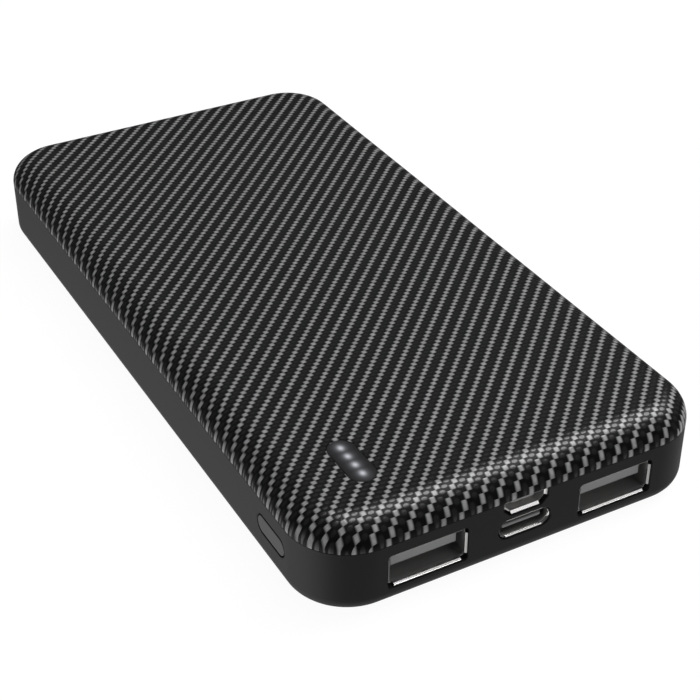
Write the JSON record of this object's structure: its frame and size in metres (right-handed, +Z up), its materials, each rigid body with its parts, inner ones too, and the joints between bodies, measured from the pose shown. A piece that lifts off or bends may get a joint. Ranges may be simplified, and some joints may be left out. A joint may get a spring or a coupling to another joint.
{
  "type": "power bank",
  "caption": "Flat pocket power bank with rounded matte case, woven-pattern cover, front charging sockets, side press key and pill-shaped status light window.",
  "frame": {"origin": "middle of the underside, where the case rests", "axes": "+Z up through the cover, +Y along the length away from the sockets, +X to the right when looking along +Y at the sockets, so the press key is on the -X side"},
  "size_m": [0.0686, 0.1348, 0.0158],
  "materials": {
    "case_plastic": "fine matte moulded texture, black",
    "patterned_cover": "matte black with a woven twill pattern",
    "key_plastic": "satin moulded, black",
    "smoked_window": "smoked, satin",
    "black_foam": "closed-cell foam",
    "socket_plastic": "moulded insulator, black",
    "tongue_plastic": "moulded insulator, grey",
    "socket_steel": "nickel-plated sheet",
    "contact_gold": "gold-plated",
    "circuit_board": "solder mask over glass epoxy",
    "screw_steel": "zinc-plated",
    "light_white": "moulded light chip",
    "ferrite": "pressed ferrite",
    "chip_epoxy": "moulded epoxy",
    "ceramic": "fired ceramic",
    "pouch_foil": "laminated foil pouch",
    "nickel": "nickel strip",
    "amber_tape": "polyimide tape",
    "adhesive": "double-sided adhesive foam"
  },
  "bodies": {
    "case": {"adhesive_pad": "adhesive", "battery_cell": "pouch_foil", "battery_tabs": "nickel", "board_screws": "screw_steel", "bottom_shell": "case_plastic", "ceramic_capacitors": "ceramic", "chip_resistors": "chip_epoxy", "circuit_board": "circuit_board", "controller_chip": "chip_epoxy", "foam_pad": "black_foam", "insulating_tape": "amber_tape", "light_shield": "black_foam", "micro_usb_contacts": "contact_gold", "micro_usb_shell": "socket_steel", "micro_usb_tongue": "socket_plastic", "power_inductor": "ferrite", "status_lights": "light_white", "status_window": "smoked_window", "switching_transistors": "chip_epoxy", "tact_switch_body": "socket_plastic", "temperature_sensor": "chip_epoxy", "top_cover": "patterned_cover", "usb_a_contacts_left": "contact_gold", "usb_a_contacts_right": "contact_gold", "usb_a_shell_left": "socket_steel", "usb_a_shell_right": "socket_steel", "usb_a_tongue_left": "tongue_plastic", "usb_a_tongue_right": "tongue_plastic", "usb_c_contacts": "contact_gold", "usb_c_shell": "socket_steel", "usb_c_tongue": "socket_plastic"},
    "power_button": {"power_button": "key_plastic"},
    "switch_plunger": {"tact_switch_plunger": "key_plastic"}
  },
  "joints": [
    {"name": "button_press", "type": "slide", "parent": "case", "child": "power_button", "axis": [1, 0, 0], "range_m": [0, 0.0003], "stiffness_N_per_m": 5000},
    {"name": "plunger_press", "type": "slide", "parent": "case", "child": "switch_plunger", "axis": [1, 0, 0], "range_m": [0, 0.0003]}
  ],
  "couplings": [
    {"joint": "plunger_press", "follows": "button_press", "ratio": 1}
  ]
}
